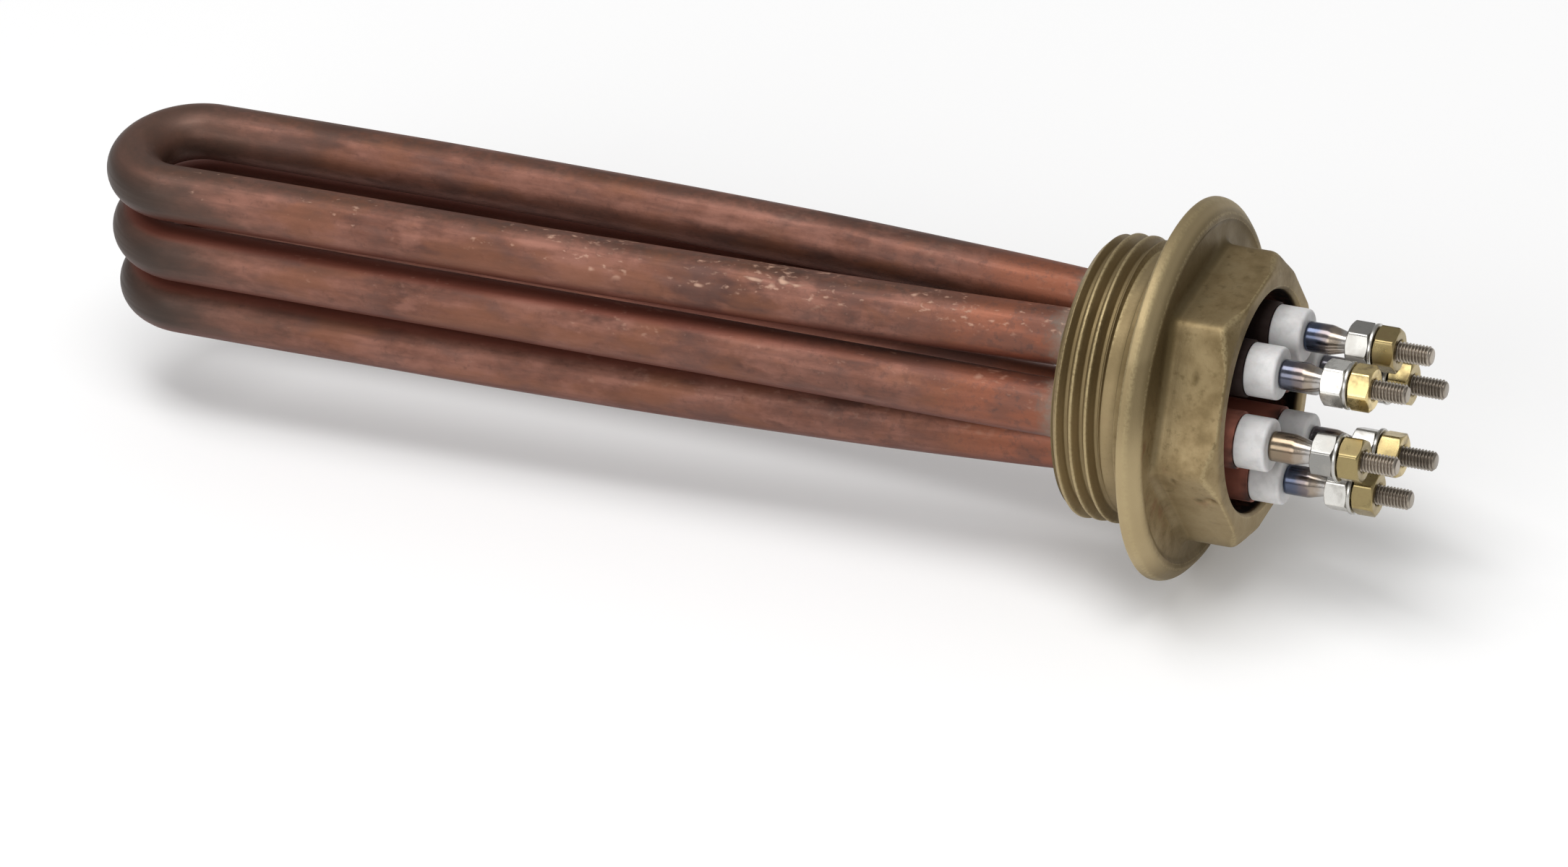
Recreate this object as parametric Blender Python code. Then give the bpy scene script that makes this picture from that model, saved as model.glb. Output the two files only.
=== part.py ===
"""Screw-in immersion heater: a brass hexagon plug that carries three copper hairpins.

The heater's axis is X, with the six screw terminals at +X and the hairpins at -X, and +Z is up.
The origin is the centre of the flange's sealing face, the face that closes on the boiler's wall.
The heater's six legs sit at the corners of a regular hexagon, two legs in each of three rows.
"""
import math

import bmesh
import bpy
from mathutils import Vector

MM = 0.001

# Gap that any two touching pieces keep
CLEARANCE = 0.3 * MM

# Sheath tube
TUBE_DIAMETER = 8.5 * MM
TUBE_WALL = 0.9 * MM
TUBE_PROUD = 0.2 * MM

# Hairpins: distance from the sealing face to the tip, and the gaps between legs and between rows
IMMERSED_LENGTH = 170.4 * MM
OUTER_HAIRPIN_GAP = 9.1 * MM
MIDDLE_HAIRPIN_GAP = 11.1 * MM
ROW_GAP = 1.4 * MM
STRAIGHT_ROOT = 3.0 * MM

# Brass plug: thread end, run-out groove, collar, flange and hexagon, in order along X
THREAD_LENGTH = 7.4 * MM
GROOVE_WIDTH = 2.4 * MM
COLLAR_LENGTH = 3.2 * MM
FLANGE_THICKNESS = 3.2 * MM
HEXAGON_LENGTH = 9.2 * MM
FLOOR_THICKNESS = 8.0 * MM
HOLE_WEB = 1.3 * MM
BORE_MARGIN = 1.7 * MM
SPIGOT_WALL = 4.605 * MM
THREAD_DEPTH = 1.48 * MM
LEAD_CHAMFER = 0.9 * MM
HEXAGON_WALL = 2.65 * MM
FLANGE_LEDGE = 6.16 * MM
RIM_ROUND = 2.9 * MM
RIM_DEPTH = 1.3 * MM
FACE_RECESS = 0.4 * MM
MOUTH_CHAMFER = 0.5 * MM
HEXAGON_FACE_INSET = 0.3 * MM
HEXAGON_CHAMFER_ANGLE = math.radians(30)

# Braze fillet at each leg's root
BRAZE_LENGTH = 1.8 * MM
BRAZE_TIP = 0.1 * MM

# Insulating bushes in the tubes' mouths
BUSH_HEAD = 4.45 * MM
BUSH_UNDERSIZE = 0.7 * MM
BUSH_SPIGOT = 4.0 * MM
BUSH_EDGE = 0.5 * MM

# Terminal pins: cold pin in the leg, shoulder against the bush, taper and screw stud
COLD_PIN_REACH = 2.0 * MM
COLD_PIN_UNDERSIZE = 0.4 * MM
SHOULDER_STEP = 0.9 * MM
SHOULDER_LENGTH = 3.3 * MM
TAPER_LENGTH = 2.6 * MM
STUD_DIAMETER = 3.0 * MM
STUD_PROUD = 5.0 * MM
STUD_POINT = 0.4 * MM

# Nuts and washer on each stud
NUT_SETBACK = 0.35 * MM
NUT_ACROSS_FLATS = 6.0 * MM
NUT_CHAMFER = 0.1 * MM
LOCK_NUT_THICKNESS = 3.2 * MM
TERMINAL_NUT_THICKNESS = 3.0 * MM
WASHER_DIAMETER = 7.0 * MM
WASHER_THICKNESS = 0.6 * MM
LOCK_NUT_TURNS = (5, 0, -7, 24, 15, 30)
TERMINAL_NUT_TURNS = (25, 9, -7, 20, 10, 38)

# Magnesia packed between the tube's bore and the resistance coil
MAGNESIA_THICKNESS = 1.25 * MM
WIRE_DIAMETER = 0.6 * MM
COIL_PITCH = 12.0 * MM

# Sides and steps of the round forms
PLUG_SIDES = 48
TUBE_SIDES = 12
FILL_SIDES = 6
HOLE_SIDES = 18
PIN_SIDES = 12
RIM_STEPS = 3
SET_STEPS = 7
BEND_STEPS = 10
TURN_STEPS = 6
WIRE_SIDES = 3

# Sizes across the axis, each worked out from the one inside it
TUBE_RADIUS = TUBE_DIAMETER / 2
TUBE_BORE = TUBE_RADIUS - TUBE_WALL
FILL_RADIUS = TUBE_BORE - CLEARANCE
FILL_BORE = FILL_RADIUS - MAGNESIA_THICKNESS
COIL_RADIUS = FILL_BORE - CLEARANCE
COLD_PIN_RADIUS = COIL_RADIUS - COLD_PIN_UNDERSIZE / 2
SHOULDER_RADIUS = COLD_PIN_RADIUS + SHOULDER_STEP
HOLE_RADIUS = TUBE_RADIUS + CLEARANCE
LEG_RING = 2 * HOLE_RADIUS + HOLE_WEB
CHAMBER_RADIUS = LEG_RING + TUBE_RADIUS + BORE_MARGIN
THREAD_RADIUS = CHAMBER_RADIUS + SPIGOT_WALL
GROOVE_RADIUS = THREAD_RADIUS - THREAD_DEPTH
FLAT_RADIUS = CHAMBER_RADIUS + HEXAGON_WALL
CORNER_RADIUS = FLAT_RADIUS / math.cos(math.pi / 6)
FLANGE_RADIUS = CORNER_RADIUS + FLANGE_LEDGE

# Places along the axis
SPIGOT_END = -(THREAD_LENGTH + GROOVE_WIDTH + COLLAR_LENGTH)
CHAMBER_FLOOR = SPIGOT_END + FLOOR_THICKNESS
PLUG_FACE = FLANGE_THICKNESS + HEXAGON_LENGTH
TUBE_MOUTH = PLUG_FACE + TUBE_PROUD
BUSH_SEAT = TUBE_MOUTH + CLEARANCE
BUSH_FACE = BUSH_SEAT + BUSH_HEAD
SHOULDER_SEAT = BUSH_FACE + CLEARANCE
SHOULDER_END = SHOULDER_SEAT + SHOULDER_LENGTH
TAPER_END = SHOULDER_END + TAPER_LENGTH
LOCK_NUT_SEAT = TAPER_END + NUT_SETBACK
WASHER_SEAT = LOCK_NUT_SEAT + LOCK_NUT_THICKNESS + CLEARANCE
TERMINAL_NUT_SEAT = WASHER_SEAT + WASHER_THICKNESS + CLEARANCE
STUD_END = TERMINAL_NUT_SEAT + TERMINAL_NUT_THICKNESS + STUD_PROUD
SET_START = SPIGOT_END - STRAIGHT_ROOT
COLD_PIN_END = SPIGOT_END - COLD_PIN_REACH
TIP_CENTRE = -IMMERSED_LENGTH + TUBE_RADIUS

LEG_ANGLES = [math.radians(60 * leg) for leg in range(6)]


def clear_scene():
    """Remove every object, so that the model starts from nothing."""
    for item in list(bpy.data.objects):
        bpy.data.objects.remove(item, do_unlink=True)


def finish(name, colour, metallic, roughness):
    """Make one Principled material."""
    material = bpy.data.materials.new(name)
    material.use_nodes = True
    shader = material.node_tree.nodes["Principled BSDF"]
    shader.inputs["Base Color"].default_value = (*colour, 1.0)
    shader.inputs["Metallic"].default_value = metallic
    shader.inputs["Roughness"].default_value = roughness
    return material


def copper_finish(name):
    return finish(name, (0.23, 0.11, 0.075), 0.85, 0.5)


def brass_finish(name):
    return finish(name, (0.30, 0.235, 0.11), 0.9, 0.45)


def steel_finish(name):
    return finish(name, (0.30, 0.30, 0.32), 0.95, 0.3)


def nickel_finish(name):
    return finish(name, (0.62, 0.61, 0.58), 0.95, 0.3)


def ceramic_finish(name):
    return finish(name, (0.72, 0.71, 0.69), 0.0, 0.6)


def braze_finish(name):
    return finish(name, (0.33, 0.30, 0.25), 0.5, 0.75)


def magnesia_finish(name):
    return finish(name, (0.80, 0.79, 0.75), 0.0, 0.95)


def circle(x, radius, sides):
    """Points of a circle about the X axis, counted from +Y towards +Z."""
    turns = [2 * math.pi * side / sides for side in range(sides)]
    return [Vector((x, radius * math.cos(turn), radius * math.sin(turn))) for turn in turns]


def loft(rings, looped):
    """Join rings of equally many points in order; the last meets the first, or both ends are capped."""
    bm = bmesh.new()
    loops = [[bm.verts.new(point) for point in ring] for ring in rings]
    pairs = list(zip(loops, loops[1:]))
    if looped:
        pairs.append((loops[-1], loops[0]))
    else:
        bm.faces.new(loops[0])
        bm.faces.new(loops[-1])
    for here, there in pairs:
        for side in range(len(here)):
            after = (side + 1) % len(here)
            bm.faces.new((here[side], here[after], there[after], there[side]))
    bmesh.ops.recalc_face_normals(bm, faces=bm.faces)
    return bm


def turned(profile, sides, looped):
    """Turn a profile of (x, radius) points about the X axis."""
    return loft([circle(x, radius, sides) for x, radius in profile], looped)


def to_mesh(bm, name, sharp_degrees):
    """Make a mesh whose faces are smooth up to the given angle."""
    mesh = bpy.data.meshes.new(name)
    bm.to_mesh(mesh)
    bm.free()
    mesh.shade_smooth()
    mesh.set_sharp_from_angle(angle=math.radians(sharp_degrees))
    return mesh


def place(name, mesh, material, axis, leg=None, turn=0.0):
    """Put a piece on the heater's axis, or on the axis of one leg, turned about it."""
    item = bpy.data.objects.new(name, mesh)
    bpy.context.scene.collection.objects.link(item)
    if not mesh.materials:
        mesh.materials.append(None)
    item.material_slots[0].link = "OBJECT"
    item.material_slots[0].material = material
    item.parent = axis
    if leg is not None:
        angle = LEG_ANGLES[leg]
        item.location = (0.0, LEG_RING * math.cos(angle), LEG_RING * math.sin(angle))
        item.rotation_euler = (math.radians(turn), 0.0, 0.0)
    return item


def hexagon_radius(turn, flat_radius):
    """Distance from the axis to a hexagon's side; its corners lie at whole multiples of 60 degrees."""
    return flat_radius / math.cos(turn % (math.pi / 3) - math.pi / 6)


def hexagon_ring(chamfer_x, direction, face_radius, flat_radius, sides):
    """Edge where a hexagon's sides meet the cone that chamfers its end at chamfer_x."""
    points = []
    for side in range(sides):
        turn = 2 * math.pi * side / sides
        radius = hexagon_radius(turn, flat_radius)
        drop = (radius - face_radius) * math.tan(HEXAGON_CHAMFER_ANGLE)
        x = chamfer_x - direction * drop
        points.append(Vector((x, radius * math.cos(turn), radius * math.sin(turn))))
    return points


def hexagon_foot(x, flat_radius, sides):
    """Outline of a hexagon at one x."""
    points = []
    for side in range(sides):
        turn = 2 * math.pi * side / sides
        radius = hexagon_radius(turn, flat_radius)
        points.append(Vector((x, radius * math.cos(turn), radius * math.sin(turn))))
    return points


def rim_profile():
    """Rounded front edge of the flange: a quarter of an ellipse from the rim to the front face."""
    points = []
    for step in range(RIM_STEPS + 1):
        turn = math.pi / 2 * step / RIM_STEPS
        x = FLANGE_THICKNESS - RIM_DEPTH + RIM_DEPTH * math.sin(turn)
        radius = FLANGE_RADIUS - RIM_ROUND + RIM_ROUND * math.cos(turn)
        points.append((x, radius))
    return points


def spigot_profile():
    """Threaded end, run-out groove and collar, from the inner end to the sealing face."""
    thread_end = SPIGOT_END + THREAD_LENGTH
    return [
        (SPIGOT_END, THREAD_RADIUS - LEAD_CHAMFER),
        (SPIGOT_END + LEAD_CHAMFER, THREAD_RADIUS),
        (thread_end, THREAD_RADIUS),
        (thread_end + THREAD_DEPTH / 2, GROOVE_RADIUS),
        (thread_end + GROOVE_WIDTH, GROOVE_RADIUS),
        (thread_end + GROOVE_WIDTH, THREAD_RADIUS),
        (0.0, THREAD_RADIUS),
    ]


def plug_mesh():
    """Plug turned from one brass forging: spigot, flange, hexagon and the terminals' chamber."""
    face_radius = FLAT_RADIUS - HEXAGON_FACE_INSET
    recess_x = FLANGE_THICKNESS - FACE_RECESS
    recess_radius = FLANGE_RADIUS - RIM_ROUND - FACE_RECESS
    rings = [circle(x, radius, PLUG_SIDES) for x, radius in spigot_profile()]
    rings += [circle(0.0, FLANGE_RADIUS, PLUG_SIDES)]
    rings += [circle(x, radius, PLUG_SIDES) for x, radius in rim_profile()]
    rings += [circle(recess_x, recess_radius, PLUG_SIDES)]
    rings += [hexagon_foot(recess_x, FLAT_RADIUS, PLUG_SIDES)]
    rings += [hexagon_ring(PLUG_FACE, 1, face_radius, FLAT_RADIUS, PLUG_SIDES)]
    rings += [circle(PLUG_FACE, face_radius, PLUG_SIDES)]
    rings += [circle(PLUG_FACE, CHAMBER_RADIUS + MOUTH_CHAMFER, PLUG_SIDES)]
    rings += [circle(PLUG_FACE - MOUTH_CHAMFER, CHAMBER_RADIUS, PLUG_SIDES)]
    rings += [circle(CHAMBER_FLOOR, CHAMBER_RADIUS, PLUG_SIDES)]
    return to_mesh(loft(rings, looped=False), "plug_body", 25)


def leg_hole_cutter(axis):
    """Six rods that drill the legs' holes through the chamber's floor."""
    overrun = 1.0 * MM
    bm = bmesh.new()
    for angle in LEG_ANGLES:
        centre = Vector((0.0, LEG_RING * math.cos(angle), LEG_RING * math.sin(angle)))
        ends = (SPIGOT_END - overrun, CHAMBER_FLOOR + overrun)
        loops = []
        for x in ends:
            ring = circle(x, HOLE_RADIUS, HOLE_SIDES)
            loops.append([bm.verts.new(point + centre) for point in ring])
            bm.faces.new(loops[-1])
        for side in range(HOLE_SIDES):
            after = (side + 1) % HOLE_SIDES
            bm.faces.new((loops[0][side], loops[0][after], loops[1][after], loops[1][side]))
    bmesh.ops.recalc_face_normals(bm, faces=bm.faces)
    cutter = bpy.data.objects.new("leg_hole_cutter", to_mesh(bm, "leg_hole_cutter", 30))
    bpy.context.scene.collection.objects.link(cutter)
    cutter.parent = axis
    cutter.hide_render = True
    cutter.display_type = "WIRE"
    return cutter


def add_plug(axis):
    plug = place("plug_body", plug_mesh(), brass_finish("plug_brass"), axis)
    drill = plug.modifiers.new("leg_holes", "BOOLEAN")
    drill.operation = "DIFFERENCE"
    drill.solver = "EXACT"
    drill.object = leg_hole_cutter(axis)


def leg_stations(ring_y, ring_z, half_gap, row_z, mouth):
    """Centre line of one leg from its mouth to the start of the bend at the hairpin's tip.

    The leg runs straight through the plug. From there it is sprung over to its row, most of the
    way near the plug, and it reaches the bend parallel to the plug's axis.
    """
    stations = [Vector((mouth, ring_y, ring_z))]
    bend_start = TIP_CENTRE + half_gap
    for step in range(SET_STEPS + 1):
        share = (step / SET_STEPS) ** 1.5
        blend = 1 - (1 - share) ** 3
        x = SET_START + (bend_start - SET_START) * share
        y = ring_y + (half_gap - ring_y) * blend
        z = ring_z + (row_z - ring_z) * blend
        stations.append(Vector((x, y, z)))
    return stations


def hairpin_path(ring_angle, gap, row_z, mouth):
    """Centre line of a hairpin, from its rear leg's mouth round the tip to its front leg's mouth."""
    ring_y = LEG_RING * math.cos(ring_angle)
    ring_z = LEG_RING * math.sin(ring_angle)
    half_gap = gap / 2 + TUBE_RADIUS
    rear = leg_stations(ring_y, ring_z, half_gap, row_z, mouth)
    bend = []
    for step in range(1, BEND_STEPS):
        turn = math.pi * step / BEND_STEPS
        x = TIP_CENTRE + half_gap - half_gap * math.sin(turn)
        bend.append(Vector((x, half_gap * math.cos(turn), row_z)))
    front = [Vector((point.x, -point.y, point.z)) for point in reversed(rear)]
    return rear + bend + front


def frames(path):
    """A station's centre with two directions across the path, the second nearest to +Z."""
    result = []
    for index, centre in enumerate(path):
        before = path[max(index - 1, 0)]
        after = path[min(index + 1, len(path) - 1)]
        along = (after - before).normalized()
        sideways = Vector((0.0, 0.0, 1.0)).cross(along).normalized()
        result.append((centre, sideways, along.cross(sideways)))
    return result


def ring_at(frame, radius, sides):
    """Ring of points round one station of a path."""
    centre, sideways, upward = frame
    points = []
    for side in range(sides):
        turn = 2 * math.pi * side / sides
        points.append(centre + sideways * radius * math.cos(turn) + upward * radius * math.sin(turn))
    return points


def pipe_mesh(name, path, outer, inner, sides):
    """Hollow pipe along a path, open at both ends."""
    outside = [ring_at(frame, outer, sides) for frame in frames(path)]
    inside = [ring_at(frame, inner, sides) for frame in reversed(frames(path))]
    return to_mesh(loft(outside + inside, looped=True), name, 40)


def frame_along(stations, distances, distance):
    """Frame at a distance along a path, read between the two stations around it."""
    index = 1
    while index < len(distances) - 1 and distances[index] < distance:
        index += 1
    span = distances[index] - distances[index - 1]
    share = (distance - distances[index - 1]) / span
    return [low.lerp(high, share) for low, high in zip(stations[index - 1], stations[index])]


def coil_mesh(name, path):
    """Resistance wire wound along a path, from one cold pin's end to the other's."""
    stations = frames(path)
    distances = [0.0]
    for before, after in zip(path, path[1:]):
        distances.append(distances[-1] + (after - before).length)
    turns = round(distances[-1] / COIL_PITCH)
    steps = turns * TURN_STEPS
    winding = COIL_RADIUS - WIRE_DIAMETER / 2
    margin = WIRE_DIAMETER / 2
    rings = []
    for step in range(steps + 1):
        distance = margin + (distances[-1] - 2 * margin) * step / steps
        centre, sideways, upward = frame_along(stations, distances, distance)
        turn = 2 * math.pi * step / TURN_STEPS
        radial = (sideways * math.cos(turn) + upward * math.sin(turn)).normalized()
        across = radial.cross(upward * math.cos(turn) - sideways * math.sin(turn)).normalized()
        middle = centre + radial * winding
        rings.append([
            middle
            + radial * math.cos(2 * math.pi * side / WIRE_SIDES) * WIRE_DIAMETER / 2
            + across * math.sin(2 * math.pi * side / WIRE_SIDES) * WIRE_DIAMETER / 2
            for side in range(WIRE_SIDES)
        ])
    return to_mesh(loft(rings, looped=False), name, 60)


def add_hairpin(row, ring_angle, gap, row_z, axis):
    """Copper sheath with its packed magnesia and the resistance coil inside."""
    fill_mouth = TUBE_MOUTH - BUSH_SPIGOT - CLEARANCE
    sheath_path = hairpin_path(ring_angle, gap, row_z, TUBE_MOUTH)
    fill_path = hairpin_path(ring_angle, gap, row_z, fill_mouth)
    coil_path = hairpin_path(ring_angle, gap, row_z, COLD_PIN_END - CLEARANCE)

    sheath = pipe_mesh("sheath_" + row, sheath_path, TUBE_RADIUS, TUBE_BORE, TUBE_SIDES)
    place("sheath_" + row, sheath, copper_finish("sheath_copper_" + row), axis)
    fill = pipe_mesh("magnesia_" + row, fill_path, FILL_RADIUS, FILL_BORE, FILL_SIDES)
    place("magnesia_" + row, fill, magnesia_finish("magnesia_powder_" + row), axis)
    coil = coil_mesh("resistance_coil_" + row, coil_path)
    place("resistance_coil_" + row, coil, steel_finish("resistance_wire_" + row), axis)


def braze_mesh():
    """Fillet of braze between a leg and the plug's inner end."""
    inner = TUBE_RADIUS + CLEARANCE
    outer = inner + (HOLE_WEB - CLEARANCE) / 2
    seat = SPIGOT_END - CLEARANCE
    profile = [(seat, inner), (seat, outer), (seat - BRAZE_LENGTH, inner + BRAZE_TIP)]
    profile.append((seat - BRAZE_LENGTH, inner))
    return to_mesh(turned(profile, TUBE_SIDES, looped=True), "braze_ring", 40)


def bush_mesh():
    """Insulating bush: a head on the tube's mouth and a spigot inside it, bored for the pin."""
    head = TUBE_RADIUS - BUSH_UNDERSIZE / 2
    bore = COLD_PIN_RADIUS + CLEARANCE
    profile = [
        (TUBE_MOUTH - BUSH_SPIGOT, bore),
        (TUBE_MOUTH - BUSH_SPIGOT, FILL_RADIUS),
        (BUSH_SEAT, FILL_RADIUS),
        (BUSH_SEAT, head),
        (BUSH_FACE - BUSH_EDGE, head),
        (BUSH_FACE, head - BUSH_EDGE),
        (BUSH_FACE, bore),
    ]
    return to_mesh(turned(profile, PIN_SIDES, looped=True), "bush", 40)


def pin_mesh():
    """Terminal pin: cold pin, shoulder, taper and stud in one piece."""
    stud = STUD_DIAMETER / 2
    profile = [
        (COLD_PIN_END, COLD_PIN_RADIUS),
        (SHOULDER_SEAT, COLD_PIN_RADIUS),
        (SHOULDER_SEAT, SHOULDER_RADIUS),
        (SHOULDER_END, SHOULDER_RADIUS),
        (TAPER_END, stud),
        (STUD_END - STUD_POINT, stud),
        (STUD_END, stud - STUD_POINT),
    ]
    return to_mesh(turned(profile, PIN_SIDES, looped=False), "terminal_pin", 40)


def nut_mesh(name, seat, thickness):
    """Hexagon nut, chamfered at both ends, its bore clear of the stud."""
    flat = NUT_ACROSS_FLATS / 2
    face = flat - NUT_CHAMFER
    bore = STUD_DIAMETER / 2 + CLEARANCE
    rings = [
        circle(seat, bore, PIN_SIDES),
        circle(seat, face, PIN_SIDES),
        hexagon_ring(seat, -1, face, flat, PIN_SIDES),
        hexagon_ring(seat + thickness, 1, face, flat, PIN_SIDES),
        circle(seat + thickness, face, PIN_SIDES),
        circle(seat + thickness, bore, PIN_SIDES),
    ]
    return to_mesh(loft(rings, looped=True), name, 20)


def washer_mesh():
    """Plain washer under the terminal nut."""
    bore = STUD_DIAMETER / 2 + CLEARANCE
    outer = WASHER_DIAMETER / 2
    front = WASHER_SEAT + WASHER_THICKNESS
    profile = [(WASHER_SEAT, bore), (WASHER_SEAT, outer), (front, outer), (front, bore)]
    return to_mesh(turned(profile, PIN_SIDES, looped=True), "washer", 40)


def add_terminals(axis):
    """Braze, bush, pin, lock nut, washer and terminal nut on each of the six legs."""
    braze = braze_mesh()
    bush = bush_mesh()
    pin = pin_mesh()
    lock_nut = nut_mesh("lock_nut", LOCK_NUT_SEAT, LOCK_NUT_THICKNESS)
    washer = washer_mesh()
    terminal_nut = nut_mesh("terminal_nut", TERMINAL_NUT_SEAT, TERMINAL_NUT_THICKNESS)
    for leg in range(6):
        tail = "_" + str(leg + 1)
        place("braze_ring" + tail, braze, braze_finish("braze" + tail), axis, leg)
        place("insulating_bush" + tail, bush, ceramic_finish("bush_ceramic" + tail), axis, leg)
        place("terminal_pin" + tail, pin, steel_finish("pin_steel" + tail), axis, leg)
        lock_name = "lock_nut" + tail
        place(lock_name, lock_nut, nickel_finish(lock_name), axis, leg, LOCK_NUT_TURNS[leg])
        place("washer" + tail, washer, nickel_finish("washer_nickel" + tail), axis, leg)
        nut_name = "terminal_nut" + tail
        place(nut_name, terminal_nut, brass_finish(nut_name), axis, leg, TERMINAL_NUT_TURNS[leg])


def build():
    clear_scene()
    axis = bpy.data.objects.new("heater_axis", None)
    bpy.context.scene.collection.objects.link(axis)
    row_z = TUBE_DIAMETER + ROW_GAP
    add_plug(axis)
    add_hairpin("top", LEG_ANGLES[1], OUTER_HAIRPIN_GAP, row_z, axis)
    add_hairpin("middle", LEG_ANGLES[0], MIDDLE_HAIRPIN_GAP, 0.0, axis)
    add_hairpin("bottom", LEG_ANGLES[5], OUTER_HAIRPIN_GAP, -row_z, axis)
    add_terminals(axis)
    bpy.context.view_layer.update()


build()
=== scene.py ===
"""Screw-in immersion heater: brass plug, three copper hairpins and six screw terminals.

The heater's axis is X, terminals at +X, and the flange's sealing face is at x = 0.
"""

import math
from types import SimpleNamespace

import bmesh
import bpy
import numpy as np
from mathutils import Matrix, Vector


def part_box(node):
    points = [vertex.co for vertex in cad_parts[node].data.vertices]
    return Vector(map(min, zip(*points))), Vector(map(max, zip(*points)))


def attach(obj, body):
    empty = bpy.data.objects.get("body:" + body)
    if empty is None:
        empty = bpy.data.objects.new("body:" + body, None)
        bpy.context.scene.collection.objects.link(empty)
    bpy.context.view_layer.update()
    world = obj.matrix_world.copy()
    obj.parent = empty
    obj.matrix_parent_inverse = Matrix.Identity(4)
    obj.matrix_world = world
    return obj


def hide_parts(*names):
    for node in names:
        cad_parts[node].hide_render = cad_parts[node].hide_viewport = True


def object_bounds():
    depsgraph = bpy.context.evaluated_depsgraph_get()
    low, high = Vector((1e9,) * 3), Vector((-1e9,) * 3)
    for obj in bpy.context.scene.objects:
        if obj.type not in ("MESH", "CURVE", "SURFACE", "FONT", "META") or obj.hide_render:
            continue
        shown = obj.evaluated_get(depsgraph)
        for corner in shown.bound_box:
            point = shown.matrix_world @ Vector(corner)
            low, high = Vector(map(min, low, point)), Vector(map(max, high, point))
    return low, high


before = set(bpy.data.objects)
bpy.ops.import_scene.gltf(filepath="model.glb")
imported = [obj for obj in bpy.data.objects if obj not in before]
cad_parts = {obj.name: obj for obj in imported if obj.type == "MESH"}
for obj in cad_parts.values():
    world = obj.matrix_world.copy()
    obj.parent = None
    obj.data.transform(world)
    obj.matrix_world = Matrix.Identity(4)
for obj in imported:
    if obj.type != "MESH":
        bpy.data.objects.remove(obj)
cad_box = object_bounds()

# The photograph's view.
# A long lens from the front right and above, with the terminals nearest. Bright softboxes overhead
# and at the front give each tube one broad highlight, over a plain pale floor.
LENS_MM = 239.3
SENSOR_MM = 36.0
CLIP_NEAR = 0.05
CLIP_FAR = 20.0
CAMERA_PLACE = Vector((0.4776, -1.1627, 0.8249))
PICTURE_RIGHT = Vector((0.9215, 0.3831, -0.0636))
PICTURE_UP = Vector((-0.1626, 0.5295, 0.8325))
FLOOR_DROP = 0.0006
FLOOR_HALF = 3.0
FLOOR_WHITE = (0.86, 0.86, 0.86)
FLOOR_GLOW = 0.16
FLOOR_ROUGHNESS = 0.9
SKY_WHITE = (1.0, 1.0, 1.0)
SKY_STRENGTH = 0.36
# Each softbox: place, the point it faces, width, height, power in watts
SOFTBOXES = {
    "softbox_overhead": ((-0.10, -0.25, 1.30), (0.0, 0.0, 0.0), 1.2, 0.6, 12.0),
    "softbox_front": ((-0.30, -1.20, 0.60), (0.0, 0.0, 0.0), 1.2, 0.6, 6.0),
}


def aimed(place, right, up):
    """World matrix of something at a place, its own X and Y along right and up."""
    right = right.normalized()
    back = right.cross(up).normalized()
    turn = Matrix((right, back.cross(right), back)).transposed()
    return Matrix.Translation(place) @ turn.to_4x4()


def add_camera():
    """Camera at the photograph's viewing angle, its lens fitted to the picture's width."""
    data = bpy.data.cameras.new("photo_view")
    data.lens = LENS_MM
    data.sensor_width = SENSOR_MM
    data.sensor_fit = "HORIZONTAL"
    data.clip_start = CLIP_NEAR
    data.clip_end = CLIP_FAR
    camera = bpy.data.objects.new("photo_view", data)
    camera.matrix_world = aimed(CAMERA_PLACE, PICTURE_RIGHT, PICTURE_UP)
    bpy.context.scene.collection.objects.link(camera)
    bpy.context.scene.camera = camera


def add_softbox(name, place, target, width, height, power):
    """Rectangular area lamp that faces its target."""
    data = bpy.data.lights.new(name, "AREA")
    data.shape = "RECTANGLE"
    data.size = width
    data.size_y = height
    data.energy = power
    lamp = bpy.data.objects.new(name, data)
    back = (Vector(place) - Vector(target)).normalized()
    right = Vector((0.0, 0.0, 1.0)).cross(back)
    lamp.matrix_world = aimed(Vector(place), right, back.cross(right))
    bpy.context.scene.collection.objects.link(lamp)


def add_floor():
    """Plain pale light table just under the flange's rim."""
    height = cad_box[0].z - FLOOR_DROP
    square = ((-1, -1), (1, -1), (1, 1), (-1, 1))
    corners = [(x * FLOOR_HALF, y * FLOOR_HALF, height) for x, y in square]
    mesh = bpy.data.meshes.new("floor")
    mesh.from_pydata(corners, [], [(0, 1, 2, 3)])
    paint = bpy.data.materials.new("floor_paper")
    paint.use_nodes = True
    shader = paint.node_tree.nodes["Principled BSDF"]
    shader.inputs["Base Color"].default_value = (*FLOOR_WHITE, 1.0)
    shader.inputs["Roughness"].default_value = FLOOR_ROUGHNESS
    shader.inputs["Emission Color"].default_value = (*FLOOR_WHITE, 1.0)
    shader.inputs["Emission Strength"].default_value = FLOOR_GLOW
    mesh.materials.append(paint)
    floor = bpy.data.objects.new("floor", mesh)
    bpy.context.scene.collection.objects.link(floor)


def add_sky():
    """Even white sky."""
    world = bpy.data.worlds.new("studio")
    world.use_nodes = True
    sky = world.node_tree.nodes["Background"]
    sky.inputs["Color"].default_value = (*SKY_WHITE, 1.0)
    sky.inputs["Strength"].default_value = SKY_STRENGTH
    bpy.context.scene.world = world


add_camera()
add_floor()
add_sky()
for softbox, settings in SOFTBOXES.items():
    add_softbox(softbox, *settings)
bpy.context.scene.view_settings.view_transform = "Standard"

# Brass plug.
# One hot-forged blank, turned to a pipe thread, groove, collar and flange, milled to a hexagon and
# bored out at the front. Its brass has dulled to olive, bare on edges and brown in the hollows.
MM = 0.001
PLUG_AROUND = 240
THREAD_CREST = 20.955 * MM
THREAD_ROOT = 19.476 * MM
THREAD_PITCH = 2.309 * MM
CREST_AT_FRONT = -11.92 * MM
THREAD_ROWS_PER_PITCH = 30
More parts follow.
